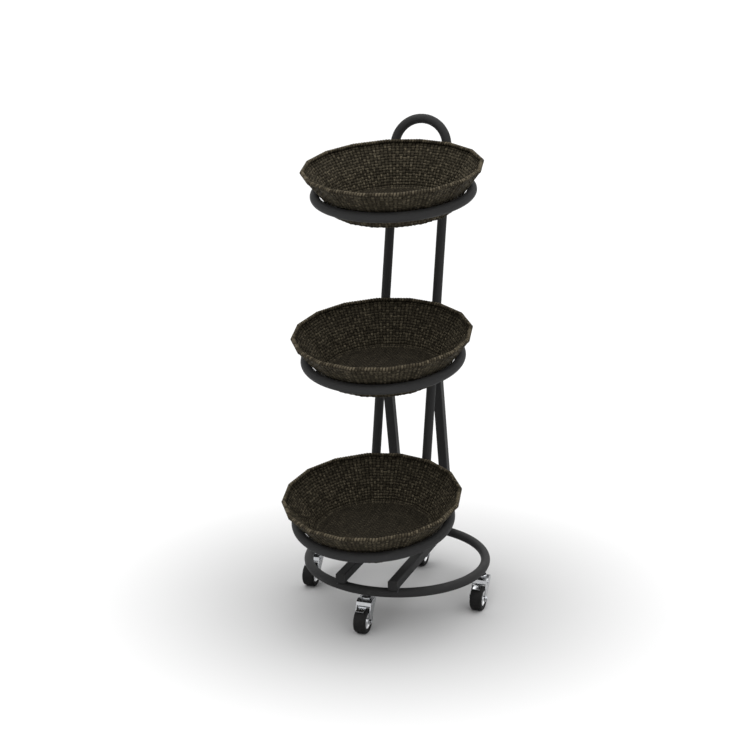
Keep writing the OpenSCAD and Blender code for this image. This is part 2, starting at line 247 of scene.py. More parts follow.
def shape_tree(name, sizes):
    """A geometry tree that takes a mesh, a size for every name, a place, a tilt and a material."""
    inputs = [("Geometry", "NodeSocketGeometry", None)]
    for label, value in sizes.items():
        inputs.append((label, COUNT if isinstance(value, int) else NUMBER, value))
    inputs += [("Place", VECTOR, None), ("Tilt", NUMBER, 0.0), ("Finish", "NodeSocketMaterial", None)]
    return new_group(name, "GeometryNodeTree", inputs, [("Geometry", "NodeSocketGeometry")])


def finish_tree(tree, given, leave, geometry):
    """Sets the shape in its place, makes it real and gives it its material."""
    turned = add_node(tree, "FunctionNodeAxisAngleToRotation", {"Axis": (1, 0, 0), "Angle": given["Tilt"]})
    placed = add_node(tree, "GeometryNodeTransform", {
        "Geometry": geometry, "Translation": given["Place"], "Rotation": turned.outputs[0]})
    smooth = add_node(tree, "GeometryNodeSetShadeSmooth", {"Geometry": placed.outputs[0]})
    real = add_node(tree, "GeometryNodeRealizeInstances", {"Geometry": smooth.outputs[0]})
    dressed = add_node(tree, "GeometryNodeSetMaterial", {
        "Geometry": real.outputs[0], "Material": given["Finish"]})
    feed(tree, dressed.outputs[0], leave.inputs[0])


def grow(name, tree, values, mesh=None):
    """Runs a geometry tree on a new object and keeps its result as a plain mesh."""
    start = mesh or bpy.data.meshes.new(name)
    piece = bpy.data.objects.new(name, start)
    bpy.context.scene.collection.objects.link(piece)
    modifier = piece.modifiers.new("Shape", "NODES")
    modifier.node_group = tree
    for item in tree.interface.items_tree:
        if item.item_type == "SOCKET" and item.in_out == "INPUT" and item.name in values:
            modifier[item.identifier] = values[item.name]
    shaped = piece.evaluated_get(bpy.context.evaluated_depsgraph_get())
    result = bpy.data.meshes.new_from_object(shaped)
    result.name = name
    piece.modifiers.remove(modifier)
    piece.data = result
    return piece


def flat_strand(tree, thickness, width):
    """The cross-section of a flat strand, its thickness along the curve's normal."""
    ring = add_node(tree, "GeometryNodeCurvePrimitiveCircle", {"Resolution": 6, "Radius": 0.5})
    size = vector(tree, thickness, width, 1.0)
    flat = add_node(tree, "GeometryNodeTransform", {"Geometry": ring.outputs[0], "Scale": size}).outputs[0]
    return store(tree, flat, "across", tree.nodes.new("GeometryNodeSplineParameter").outputs["Factor"])


def store(tree, geometry, name, value):
    """Keeps a value under a name at every point, for the material to read."""
    return add_node(tree, "GeometryNodeStoreNamedAttribute", {
        "Geometry": geometry, "Name": name, "Value": value}, data_type="FLOAT", domain="POINT").outputs[0]


def strands(tree, curve, place, outward, thickness, width, wave, along, strand_number, scale=1.0,
            outside=None):
    """Lays curves out, keeps what the material needs to know, and gives them a flat cross-section."""
    laid = add_node(tree, "GeometryNodeSetPosition", {"Geometry": curve, "Position": place}).outputs[0]
    # The weave value gives the strand's side of the wall by its sign and, by its size, how little painted shade it
    # gets
    laid = store(tree, laid, "weave", wave)
    laid = store(tree, laid, "along", along)
    laid = store(tree, laid, "strand", strand_number)
    if outside is not None:
        laid = store(tree, laid, "outside", outside)
        beyond = add_node(tree, "GeometryNodeInputNamedAttribute", {"Name": "outside"}, data_type="FLOAT")
        laid = add_node(tree, "GeometryNodeDeleteGeometry", {
            "Geometry": laid, "Selection": beyond.outputs[0]}).outputs[0]
    turned = add_node(tree, "GeometryNodeSetCurveNormal", {"Curve": laid, "Normal": outward}, mode="FREE")
    return add_node(tree, "GeometryNodeCurveToMesh", {
        "Curve": turned.outputs[0], "Profile Curve": flat_strand(tree, thickness, width), "Scale": scale,
        "Fill Caps": True}).outputs[0]


def join(tree, *parts):
    node = tree.nodes.new("GeometryNodeJoinGeometry")
    for part in reversed(parts):
        tree.links.new(part, node.inputs[0])
    return node.outputs[0]


def copies(tree, curve, amount):
    """Repeats a curve and gives the copies, the number of each copy and of each point along it."""
    many = add_node(tree, "GeometryNodeDuplicateElements", {"Geometry": curve, "Amount": amount},
                    domain="SPLINE")
    number = Field(tree, many.outputs["Duplicate Index"])
    point = Field(tree, tree.nodes.new("GeometryNodeSplineParameter").outputs["Index"])
    return many.outputs["Geometry"], number, point


# Where the numbers of each kind of strand start. The rows of the walls start from 0.
FIRST_STAKE = 1000.0
FIRST_FLOOR_STRAND = 2000.0
FIRST_CROSS_STRAND = 3000.0
ROD = 4000.0
FIRST_WRAP = 5000.0

# Widths of flat strands as shares of their pitch, and the most that a stake widens up the wall
ROW_WIDTH = 1.2
STAKE_WIDTH = 1.2
STAKE_SPREAD = 1.35
FLOOR_WIDTH = 1.15
WRAP_WIDTH = 0.80

# A stake's thickness as a share of a row's, and how much of the binding's thickness lies outside the core
STAKE_THICKNESS = 0.8
WRAP_PROUD = 0.35

# Strand thicknesses that a change of slope takes, and the wall's middle radius as a share of its foot's
SLOPE_EASE = 4.0
WALL_MIDDLE = 1.25


def side_stretch(angle, sides):
    """How much nearer than its corners a many-sided ring is at an angle round it."""
    half = sides.math("POWER", -1.0) * math.pi
    return half.math("COSINE") / (angle % (half * 2.0) - half).math("COSINE")


def wall_profile(given, up):
    """Radius, height and outward direction at a distance up the wall from the floor's edge."""
    radius, height, slope, start = given["Foot radius"], given["Foot height"], given["Foot slope"], None
    for part in ("Foot", "Lower", "Upper"):
        angle, length = given[part + " slope"], given[part + " length"]
        gone = up - start if start else up
        run = gone.math("MAXIMUM", 0.0)
        if part != "Upper":
            run = run.math("MINIMUM", length)
        radius = radius + run * angle.math("COSINE")
        height = height + run * angle.math("SINE")
        if start:
            bend = gone / (given["Strand"] * SLOPE_EASE) + 0.5
            bend = bend.math("MINIMUM", 1.0).math("MAXIMUM", 0.0)
            slope = slope + (angle - slope) * bend
        start = start + length if start else length
    return radius, height, slope.math("SINE"), slope.math("COSINE")


def wall_point(given, angle, up, swing):
    """A point of the wall, swung outwards by a distance, and the wall's outward direction there."""
    tree = given["Strand"].tree
    radius, height, out_r, out_h = wall_profile(given, up)
    stretch = side_stretch(angle, given["Sides"])
    far = radius * stretch + swing * out_r
    cosine, sine = angle.math("COSINE"), angle.math("SINE")
    place = vector(tree, far * cosine, far * sine, height - swing * out_h)
    outward = vector(tree, out_r * cosine, out_r * sine, out_h * -1.0)
    return place, outward


def wall_sizes(sizes):
    """What the wall's tree takes. Its shades deepen the painted crossing shade on the stakes and paint shade over
    the bend at the foot.
    """
    return {
        "Sides": sizes.sides, "Stakes": sizes.sides * sizes.stakes_per_side, "Rows": sizes.rows,
        "Samples": 3, "Foot radius": sizes.foot_radius, "Foot height": sizes.foot_height,
        "Foot length": sizes.foot_length, "Foot slope": sizes.foot_slope,
        "Lower length": sizes.lower_length, "Lower slope": sizes.lower_slope,
        "Upper length": sizes.upper_length, "Upper slope": sizes.upper_slope,
        "Strand": sizes.strand, "Wave": sizes.wave, "Stake shade": 0.9, "Foot shade": 0.72}


def wall_tree(sizes):
    """The woven wall: level strands over and under upright ones, with every crossing alternating."""
    tree, given, leave = shape_tree("Woven wall", sizes)
    rows, stakes, samples = given["Rows"], given["Stakes"], given["Samples"]
    row_pitch = (given["Foot length"] + given["Lower length"] + given["Upper length"]) / rows
    turn = stakes * samples

    # Painted shade: the nearly level bend at the foot catches the overhead light, so its crowns are lowered to
    # darken it
    def shaded(wave, up):
        above = up.math("GREATER_THAN", given["Foot length"])
        return wave * (above + given["Foot shade"] - above * given["Foot shade"])

    round_once = add_node(tree, "GeometryNodeCurvePrimitiveCircle", {"Resolution": turn}).outputs[0]
    curve, row, point = copies(tree, round_once, rows)
    angle = point / turn * math.tau
    wave = (point / samples * math.pi + row * math.pi).math("SINE")
    up = (row + 0.5) * row_pitch
    place, outward = wall_point(given, angle, up, wave * given["Wave"])
    level = strands(tree, curve, place, outward, given["Strand"], row_pitch * ROW_WIDTH, shaded(wave, up),
                    angle * given["Foot radius"] * WALL_MIDDLE, row)

    line = add_node(tree, "GeometryNodeCurvePrimitiveLine")
    cut = add_node(tree, "GeometryNodeResampleCurve", {
        "Curve": line.outputs[0], "Count": rows * samples + 1})
    curve, stake, point = copies(tree, cut.outputs[0], stakes)
    up = point / samples * row_pitch
    angle = (stake + 0.5) / stakes * math.tau
    wave = (point / samples * math.pi + stake * math.pi).math("SINE") * -1.0
    place, outward = wall_point(given, angle, up, wave * given["Wave"])
    radius = wall_profile(given, up)[0]
    width = given["Foot radius"] * math.tau / stakes * STAKE_WIDTH
    # Painted shade: the stakes' crossings are darker than the rows'
    upright = strands(tree, curve, place, outward, given["Strand"] * STAKE_THICKNESS, width,
                      shaded(wave * given["Stake shade"], up), up, stake + FIRST_STAKE,
                      scale=(radius / given["Foot radius"]).math("MINIMUM", STAKE_SPREAD))
    finish_tree(tree, given, leave, join(tree, level, upright))
    return tree


def floor_sizes(sizes):
    """What the floor's tree takes. Its shade darkens one of the two sets of strands."""
    return {
        "Across": 2 * math.ceil(sizes.floor_radius / sizes.floor_pitch), "Samples": 3,
        "Radius": sizes.floor_radius, "Height": sizes.floor_height, "Pitch": sizes.floor_pitch,
        "Strand": sizes.floor_strand, "Wave": sizes.floor_wave, "Cross shade": 0.55}


def floor_tree(sizes):
    """The woven floor: two sets of straight strands that cross at right angles inside a circle."""
    tree, given, leave = shape_tree("Woven floor", sizes)
    across, samples, pitch = given["Across"], given["Samples"], given["Pitch"]
    sets = []
    shades, starts = (given["Cross shade"], 1.0), (FIRST_FLOOR_STRAND, FIRST_CROSS_STRAND)
    for turned, shade, first in zip((0, 1), shades, starts):
        line = add_node(tree, "GeometryNodeCurvePrimitiveLine")
        cut = add_node(tree, "GeometryNodeResampleCurve", {
            "Curve": line.outputs[0], "Count": across * samples + 1})
        curve, number, point = copies(tree, cut.outputs[0], across)
        along = (point / samples - across / 2.0) * pitch
        aside = (number + 0.5 - across / 2.0) * pitch
        wave = (point / samples * math.pi + (number + turned) * math.pi).math("SINE")
        level = given["Height"] + wave * given["Wave"]
        place = vector(tree, aside, along, level) if turned else vector(tree, along, aside, level)
        outside = (along * along + aside * aside).math("GREATER_THAN", given["Radius"] * given["Radius"])
        sets.append(strands(tree, curve, place, vector(tree, 0.0, 0.0, 1.0), given["Strand"],
                            pitch * FLOOR_WIDTH, wave * shade, along, number + first, outside=outside))
    finish_tree(tree, given, leave, join(tree, *sets))
    return tree


def rim_sizes(sizes):
    """What the rim's tree takes. The binding is paler on top and darker below than at middle height: painted light
    and shade.
    """
    return {
        "Sides": sizes.sides, "Wraps": sizes.sides * sizes.wraps_per_side, "Samples": 10,
        "Rod steps": 4, "Radius": sizes.rim_radius, "Height": sizes.rim_height, "Core": sizes.rim_core,
        "Strand": sizes.binding, "Middle shade": 0.58, "Shade change": 0.42}


def rim_tree(sizes):
    """The bound rim: a round core of rods with a flat strand wound closely about it."""
    tree, given, leave = shape_tree("Bound rim", sizes)
    wraps, samples, core = given["Wraps"], given["Samples"], given["Core"]
    turn = wraps * samples
    circle = add_node(tree, "GeometryNodeCurvePrimitiveCircle", {"Resolution": turn}).outputs[0]
    curve, _, point = copies(tree, circle, 1)
    angle = point / turn * math.tau
    winding = point / samples * math.tau
    far = given["Radius"] * side_stretch(angle, given["Sides"])
    out, rise = winding.math("COSINE"), winding.math("SINE")
    reach = core + given["Strand"] * WRAP_PROUD
    cosine, sine = angle.math("COSINE"), angle.math("SINE")
    place = vector(tree, (far + out * reach) * cosine, (far + out * reach) * sine,
                   given["Height"] + rise * reach)
    outward = vector(tree, out * cosine, out * sine, rise)
    wrap = (point / samples).math("FLOOR")
    pitch = given["Radius"] * math.tau / wraps
    # Painted light and shade: the binding's tone rises where it turns upwards and falls where it turns down
    binding = strands(tree, curve, place, outward, given["Strand"], pitch * WRAP_WIDTH,
                      rise * given["Shade change"] + given["Middle shade"], point / samples * pitch,
                      wrap + FIRST_WRAP)
    rod_turn = given["Sides"] * given["Rod steps"]
    circle = add_node(tree, "GeometryNodeCurvePrimitiveCircle", {"Resolution": rod_turn})
    curve, _, point = copies(tree, circle.outputs[0], 1)
    angle = point / rod_turn * math.tau
    far = given["Radius"] * side_stretch(angle, given["Sides"])
    place = vector(tree, far * angle.math("COSINE"), far * angle.math("SINE"), given["Height"])
    outward = vector(tree, angle.math("COSINE"), angle.math("SINE"), 0.0)
    rods = strands(tree, curve, place, outward, core * 2.0, core * 2.0, 0.0, 0.0, ROD)
    finish_tree(tree, given, leave, join(tree, rods, binding))
    return tree


def tier_place(tier):
    """The middle of a tier's ring and how far the ring leans forward."""
    low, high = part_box("display_ring_" + tier)
    lift = next(j for j in frame["joints"] if j["name"] == "basket_" + tier + "_lift")
    axis = Vector(lift["axis"])
    return (low + high) / 2, math.atan2(-axis.y, axis.z)


# Sizes of the frame that the welds follow. The bars lie on the base ring, so they start at its top.
RING_LOW, RING_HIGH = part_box("base_ring")
BAR_LOW, BAR_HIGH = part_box("floor_bar_right")
TUBE_R = (BAR_LOW.z - RING_LOW.z) / 2
BASE_R = RING_HIGH.x - TUBE_R
BASE_Z = (BAR_LOW.z + RING_LOW.z) / 2
BAR_TOP = BAR_HIGH.z
BAR_DEPTH = BAR_HIGH.z - BAR_LOW.z
UPRIGHT_X = (BAR_LOW.x + BAR_HIGH.x) / 2
RING_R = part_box("display_ring_top")[1].x - TUBE_R
BOSS_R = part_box("caster_bosses")[1].x - BASE_R

# The hoop's lean, where its uprights stand, and where the legs' middles meet it, as in the part's source
HOOP_LEAN = math.radians(10.2)
FOOT_Y = -0.014
LEG_TOP_H = 0.709

# The bead's radius, and how far its middle stands off the metal at each kind of weld
WELD_R = 0.0017
WELD_OFF = WELD_R * 0.3
LEG_WELD_OFF = WELD_R * 0.2
BOSS_WELD_OFF = WELD_R * 0.25
BAR_WELD_OFF = 0.0003

# How far the welds reach to each side of their middles, as angles round a tube or as lengths
FOOT_REACH = 1.0
LEG_REACH = 1.05
RING_REACH = 0.55
LEG_FOOT_REACH = 0.0100
BAR_REACH = 0.0075

# How far the welds lie from the middle of a display ring or of a bar
RING_WELD_RISE = 0.0080
BAR_WELD_ASIDE = 0.0115

# The beads' distance apart, the share by which their sizes differ, and the height that still counts as level
BEAD_PITCH = WELD_R * 0.95
BEAD_CHANGE = 0.08
LEVEL_WITHIN = 0.0001


def on_upright(side, height, turn, far):
    """A point beside an upright, at a height up it, an angle round from its front and a distance from it."""
    lean_sine, lean_cosine = math.sin(HOOP_LEAN), math.cos(HOOP_LEAN)
    ahead = Vector((math.sin(turn), -math.cos(turn) * lean_cosine, math.cos(turn) * lean_sine))
    axis = Vector((0, lean_sine, lean_cosine))
    return Vector((side * UPRIGHT_X, FOOT_Y, BAR_TOP)) + axis * height + ahead * far


def spread(low, high, count):
    """Values at even steps from one to another."""
    return [low + (high - low) * k / (count - 1) for k in range(count)]


def foot_welds(side):
    """Where an upright stands on a floor bar, in front and behind."""
    for rear in (0, math.pi):
        arc = []
        for turn in spread(-FOOT_REACH, FOOT_REACH, 13):
            point = on_upright(side, 0, turn + rear, TUBE_R + WELD_OFF)
            arc.append(Vector((point.x, FOOT_Y + (point.y - FOOT_Y) / math.cos(HOOP_LEAN) ** 2, BAR_TOP)))
        yield arc


def leg_welds(side, leg):
    """Across a rear leg's front at its foot, and round the back of the upright at its top."""
    corners = [v.co for v in frame["nodes"][leg].data.vertices if v.co.z < BAR_TOP + LEVEL_WITHIN]
    front = min(c.y for c in corners)
    yield [Vector((side * UPRIGHT_X + x, front, BAR_TOP))
           for x in spread(-LEG_FOOT_REACH, LEG_FOOT_REACH, 5)]
    top_y = FOOT_Y + (LEG_TOP_H - BAR_TOP) * math.tan(HOOP_LEAN)
    top = Vector((side * UPRIGHT_X, top_y, LEG_TOP_H))
    foot = Vector((side * UPRIGHT_X, (max(c.y for c in corners) + front) / 2, BAR_TOP))
    run = foot - top
    upper = Vector((0, run.z, -run.y)).normalized()
    for offset in (-upper * BAR_DEPTH / 2, upper * BAR_DEPTH / 2):
        arc = []
        for turn in spread(-LEG_REACH, LEG_REACH, 15):
            ahead = on_upright(side, 0, math.pi + turn, TUBE_R)
            axis = on_upright(side, 1, math.pi + turn, TUBE_R) - ahead
            height = (top + offset - ahead).dot(upper) / axis.dot(upper)
            arc.append(on_upright(side, height, math.pi + turn, TUBE_R + LEG_WELD_OFF))
        yield arc


def ring_welds(side, tier):
    """Above and below the place where a display ring touches an upright."""
    centre, tilt = tier_place(tier)
    back = math.sqrt(RING_R ** 2 - UPRIGHT_X ** 2)
    touch = centre + Vector((side * UPRIGHT_X, back * math.cos(tilt), back * math.sin(tilt)))
    start = on_upright(side, 0, 0, 0)
    axis = on_upright(side, 1, 0, 0) - start
    height = (touch - start).dot(axis)
    for rise in (-RING_WELD_RISE, RING_WELD_RISE):
        yield [on_upright(side, height + rise, turn, TUBE_R + WELD_OFF)
               for turn in spread(-RING_REACH, RING_REACH, 7)]


def bar_welds(side, end):
    """Both sides of a floor bar where it lies on the base ring."""
    across = math.sqrt(BASE_R ** 2 - UPRIGHT_X ** 2)
    for edge in (-BAR_WELD_ASIDE, BAR_WELD_ASIDE):
        line = []
        for step in spread(-BAR_REACH, BAR_REACH, 7):
            x, y = side * UPRIGHT_X + edge, end * (across + step)
            off = math.hypot(x, y) - BASE_R
            line.append(Vector((x, y, BASE_Z + math.sqrt(TUBE_R ** 2 - off ** 2) + BAR_WELD_OFF)))
        yield line


def boss_weld(angle):
    """The ring of weld between a caster's boss and the underside of the base ring."""
    loop = []
    far = BOSS_R + BOSS_WELD_OFF
    for turn in spread(0, math.tau, 33):
        x = BASE_R * math.cos(angle) + far * math.cos(turn)
        y = BASE_R * math.sin(angle) + far * math.sin(turn)
        off = math.hypot(x, y) - BASE_R
        loop.append(Vector((x, y, BASE_Z - math.sqrt(TUBE_R ** 2 - off ** 2))))
    return loop


def weld_paths():
    """Every line that a weld follows."""
    for side, leg in ((-1, "rear_leg_left"), (1, "rear_leg_right")):
        yield from foot_welds(side)
        yield from leg_welds(side, leg)
        for tier in TIERS:
            yield from ring_welds(side, tier)
        for end in (-1, 1):
            yield from bar_welds(side, end)
    for quarter in range(4):
        yield boss_weld(quarter * math.pi / 2)


def weld_tree(sizes):
    """Drops of weld metal, set close together along the paths of a mesh of lines."""
    tree, given, leave = shape_tree("Weld beads", sizes)
    curve = add_node(tree, "GeometryNodeMeshToCurve", {"Mesh": given["Geometry"]}).outputs[0]
    cut = add_node(tree, "GeometryNodeResampleCurve", {"Curve": curve, "Length": given["Pitch"]},
                   mode="LENGTH")
    drop = add_node(tree, "GeometryNodeMeshIcoSphere", {"Radius": given["Bead"], "Subdivisions": 2})
    size = add_node(tree, "FunctionNodeRandomValue", {"Seed": 4}, data_type="FLOAT_VECTOR")
    size.inputs[0].default_value = (1 - BEAD_CHANGE,) * 3
    size.inputs[1].default_value = (1 + BEAD_CHANGE,) * 3
    beads = add_node(tree, "GeometryNodeInstanceOnPoints", {
        "Points": cut.outputs[0], "Instance": drop.outputs[0], "Scale": size.outputs[0]})
    finish_tree(tree, given, leave, beads.outputs[0])
    return tree


# Colours of dust, grime and tool marks
PAINT_DUST = (0.16, 0.155, 0.15)
PLASTIC_DUST = (0.09, 0.088, 0.085)
TREAD_DUST = (0.085, 0.08, 0.075)
METAL_GRIME = (0.03, 0.03, 0.03)
HUB_GRIME = (0.08, 0.075, 0.07)
HUB_RINGS = (0.50, 0.50, 0.51)

# Distance between the tool's rings on a hub
HUB_RING_PITCH = 0.0007

# How far inside the tread's radius its dust starts and is full
TREAD_START = 0.0020
TREAD_FULL = 0.0003

# Where the flat of a tyre's moulding seam ends and where its edge does, from the tyre's middle
SEAM_FLAT = 0.0002
SEAM_EDGE = 0.0005

# How much the outside of a basket evens out the crossings' painted shade, and how much painted shade darkens the
# whole outside
OUTSIDE_EVEN = 0.20
OUTSIDE_SHADE = 0.35


def material(name):
    made = bpy.data.materials.new(name)
    made.use_nodes = True
    shader = made.node_tree.nodes["Principled BSDF"]
    return made, made.node_tree, shader


def noise(tree, coordinates, scale, detail=2.0, rough=0.5):
    node = add_node(tree, "ShaderNodeTexNoise", {
        "Vector": coordinates, "Scale": scale, "Detail": detail, "Roughness": rough})
    return Field(tree, node.outputs["Fac"])


def between(value, low, high, start=0.0, end=1.0):
    """Maps a value from one span to another and keeps it inside the second."""
    node = add_node(value.tree, "ShaderNodeMapRange", {
        "Value": value, "From Min": low, "From Max": high, "To Min": start, "To Max": end})
    return Field(value.tree, node.outputs[0])


def mixed(tree, share, first, second):
    node = add_node(tree, "ShaderNodeMix", {0: share, 6: first, 7: second}, data_type="RGBA")
    return node.outputs[2]


def grouped(tree, group, inputs):
    node = tree.nodes.new("ShaderNodeGroup")
    node.node_tree = group
    for name, value in inputs.items():
        feed(tree, value, node.inputs[name])
    return node.outputs


def bumped(tree, height, distance):
    return add_node(tree, "ShaderNodeBump", {
        "Height": height, "Distance": distance, "Strength": 1.0}).outputs[0]


def place_of(tree):
    return tree.nodes.new("ShaderNodeTexCoord").outputs["Object"]


def strand_group():
    """Colour, roughness and height of a woven plastic strand, from where a point is on its strand, with painted
    shade where it dips under a crossing strand.
    """
    tree, given, leave = new_group("Woven strand", "ShaderNodeTree", [
        ("Dark", COLOUR, (0.02, 0.02, 0.01, 1)), ("Light", COLOUR, (0.1, 0.09, 0.06, 1)),
        ("Along", NUMBER, 0.0), ("Across", NUMBER, 0.0), ("Strand", NUMBER, 0.0), ("Crown", NUMBER, 0.0),
        ("Cell", NUMBER, 0.009), ("Lines alike", NUMBER, 1.0), ("Speckle", NUMBER, 0.6),
        ("Patches", NUMBER, 0.25), ("Contrast", NUMBER, 1.0)],
        [("Colour", COLOUR), ("Roughness", NUMBER), ("Height", NUMBER)])
    along, strand = given["Along"], given["Strand"]
    cell = (along / given["Cell"]).math("FLOOR")
    line = (strand / given["Lines alike"]).math("FLOOR")
    own = Field(tree, add_node(tree, "ShaderNodeTexWhiteNoise", {"Vector": vector(tree, cell, line, 1.0)},
                               noise_dimensions="2D").outputs["Value"])
    streaks = noise(tree, vector(tree, along * 90.0, given["Across"] * 9.0, strand * 3.7), 1.0, 3.0)
    patches = noise(tree, vector(tree, along * 24.0, strand * 0.55, 0.0), 1.0, 3.0)
    flecks = between(noise(tree, vector(tree, along * 210.0, strand * 9.1, 4.0), 1.0, 1.0), 0.58, 0.72)
    # Painted shade: a low crown, where the strand dips under a crossing one, darkens its colour
    crown_shade = between(given["Crown"], 0.25, 1.0)
    tone = (own * own * given["Speckle"] + between(patches, 0.35, 0.65) * given["Patches"]
            + between(streaks, 0.3, 0.7) * 0.15 + flecks * 0.45 + 0.10)
    light = ((crown_shade * 0.92 + 0.08) * tone * given["Contrast"]).math("MINIMUM", 1.0)
    feed(tree, mixed(tree, light, given["Dark"], given["Light"]), leave.inputs["Colour"])
    feed(tree, between(streaks, 0.2, 0.8, 0.86, 0.62), leave.inputs["Roughness"])
    feed(tree, streaks * 0.7 + patches * 0.3, leave.inputs["Height"])
    return tree


def coat_group():
    """Colour, roughness and height of sprayed paint: fine orange peel, faint dust and rubbed patches."""
    tree, given, leave = new_group("Sprayed coat", "ShaderNodeTree", [
        ("Base", COLOUR, (0.03, 0.03, 0.03, 1)), ("Rough", NUMBER, 0.45), ("Place", VECTOR, None),
        ("Facing up", NUMBER, 0.0)], [("Colour", COLOUR), ("Roughness", NUMBER), ("Height", NUMBER)])
    peel = noise(tree, given["Place"], 620.0, 2.0)
    speck = noise(tree, given["Place"], 1900.0, 1.0)
    cloud = noise(tree, given["Place"], 14.0, 3.0)
    rubbed = between(noise(tree, given["Place"], 46.0, 4.0, 0.62), 0.60, 0.72)
    dust = between(given["Facing up"], 0.55, 1.0) * between(cloud, 0.42, 0.66)
    paler = mixed(tree, dust * 0.16 + rubbed * 0.06, given["Base"], (*PAINT_DUST, 1))
    feed(tree, paler, leave.inputs["Colour"])
    feed(tree, given["Rough"] + between(cloud, 0.3, 0.7, -0.05, 0.05) - rubbed * 0.08 + dust * 0.12,
         leave.inputs["Roughness"])
    feed(tree, peel * 0.8 + speck * 0.2, leave.inputs["Height"])
    return tree


def handling_group():
    """Roughness and height of a hard surface with hairline scratches, fingermarks and a faint grain."""
    tree, given, leave = new_group("Handling marks", "ShaderNodeTree", [
        ("Place", VECTOR, None), ("Smooth", NUMBER, 0.12), ("Worn", NUMBER, 0.3)],
        [("Roughness", NUMBER), ("Height", NUMBER), ("Grime", NUMBER)])
    apart = add_node(tree, "ShaderNodeSeparateXYZ", {0: given["Place"]})
    x, y, z = (Field(tree, s) for s in apart.outputs)
    fine, coarse = 2600.0, 130.0
    lines = noise(tree, vector(tree, x * fine, (y + z * 0.3) * coarse, (z - x * 0.2) * fine), 1.0, 1.0)
    smears = noise(tree, given["Place"], 85.0, 4.0, 0.6)
    pits = between(noise(tree, given["Place"], 900.0, 2.0), 0.66, 0.76)
    feed(tree, given["Smooth"] + (given["Worn"] - given["Smooth"])
         * (between(smears, 0.42, 0.72) * 0.7 + between(lines, 0.55, 0.75) * 0.3), leave.inputs["Roughness"])
    feed(tree, lines * 0.6 - pits * 0.8, leave.inputs["Height"])
    feed(tree, between(smears, 0.58, 0.80) * 0.6 + pits * 0.4, leave.inputs["Grime"])
    return tree


def paint_material(looks):
    """Charcoal paint on steel tube."""
    made, tree, shader = material("charcoal_paint")
    facing = tree.nodes.new("ShaderNodeNewGeometry").outputs["Normal"]
    up = add_node(tree, "ShaderNodeSeparateXYZ", {0: facing}).outputs["Z"]
    coat = grouped(tree, coat_group(), {
        "Base": (*looks.steel, 1), "Rough": looks.steel_gloss, "Place": place_of(tree), "Facing up": up})
    feed(tree, coat["Colour"], shader.inputs["Base Color"])
    feed(tree, coat["Roughness"], shader.inputs["Roughness"])
    feed(tree, bumped(tree, coat["Height"], 0.00010), shader.inputs["Normal"])
    shader.inputs["Specular IOR Level"].default_value = 0.05
    return made


def attribute(tree, name):
    return Field(tree, add_node(tree, "ShaderNodeAttribute", attribute_name=name).outputs["Fac"])


def strand_material(name, group, dark, light, contrast, relief, cell, speckle, patches):
    """Woven plastic strand. It reads where a point is from what the weaving kept on the piece, and from that
    paints shade in the crossings and over the wall's outside.
    """
    made, tree, shader = material(name)
    weave, strand = attribute(tree, "weave"), attribute(tree, "strand")
    # Painted shade: the outside of the wall, facing down and away from the light, is darker, and its crossings'
    # painted shade is evened out
    outside = weave.math("GREATER_THAN", 0.0) * strand.math("LESS_THAN", FIRST_FLOOR_STRAND - 0.5)
    outer_row = outside * strand.math("LESS_THAN", FIRST_STAKE - 0.5)
    woven = grouped(tree, group, {
        "Dark": (*dark, 1), "Light": (*light, 1), "Along": attribute(tree, "along"),
        "Across": attribute(tree, "across"), "Strand": strand, "Cell": cell,
        "Crown": weave.math("ABSOLUTE") * (outside * -OUTSIDE_EVEN + 1.0) + outside * OUTSIDE_EVEN,
        "Lines alike": outer_row * 2.0 + 1.0, "Speckle": speckle, "Patches": patches,
        "Contrast": (outside * -OUTSIDE_SHADE + 1.0) * contrast})
    feed(tree, woven["Colour"], shader.inputs["Base Color"])
    feed(tree, woven["Roughness"], shader.inputs["Roughness"])
    feed(tree, bumped(tree, woven["Height"], relief), shader.inputs["Normal"])
    shader.inputs["Specular IOR Level"].default_value = 0.06
    return made


def hard_material(name, group, colour, smooth, worn, metal, relief, grime=METAL_GRIME, gloss=0.5):
    """Plated, bare or moulded surface with signs of handling."""
    made, tree, shader = material(name)
    marks = grouped(tree, group, {"Place": place_of(tree), "Smooth": smooth, "Worn": worn})
    colour = mixed(tree, Field(tree, marks["Grime"]) * 0.30, (*colour, 1), (*grime, 1))
    feed(tree, colour, shader.inputs["Base Color"])
    feed(tree, marks["Roughness"], shader.inputs["Roughness"])
    feed(tree, bumped(tree, marks["Height"], relief), shader.inputs["Normal"])
    shader.inputs["Metallic"].default_value = metal
    shader.inputs["Specular IOR Level"].default_value = gloss
    return made


def round_axle(tree, axle):
    """How far a point is from a wheel's axle, and how far aside along it from the wheel's middle."""
    centred = add_node(tree, "ShaderNodeMapping", {"Vector": place_of(tree), "Location": tuple(-axle)})
    apart = add_node(tree, "ShaderNodeSeparateXYZ", {0: centred.outputs[0]})
    y, z = (Field(tree, apart.outputs[k]) for k in (1, 2))
    return (y * y + z * z).math("SQRT"), Field(tree, apart.outputs[0])


def hub_material(name, group, looks, axle):
    """Turned grey metal, with rings of tool marks round the axle."""
    made, tree, shader = material(name)
    marks = grouped(tree, group, {"Place": place_of(tree), "Smooth": 0.30, "Worn": 0.48})
    radius, _ = round_axle(tree, axle)
    rings = (radius * (math.tau / HUB_RING_PITCH)).math("SINE")
    shade = mixed(tree, between(rings, -1.0, 1.0, 0.0, 0.12), (*looks.hub, 1), (*HUB_RINGS, 1))
    feed(tree, mixed(tree, Field(tree, marks["Grime"]) * 0.18, shade, (*HUB_GRIME, 1)),
         shader.inputs["Base Color"])
    feed(tree, marks["Roughness"], shader.inputs["Roughness"])
    feed(tree, bumped(tree, rings * 0.5 + marks["Height"], 0.00002), shader.inputs["Normal"])
    shader.inputs["Metallic"].default_value = 1.0
    return made


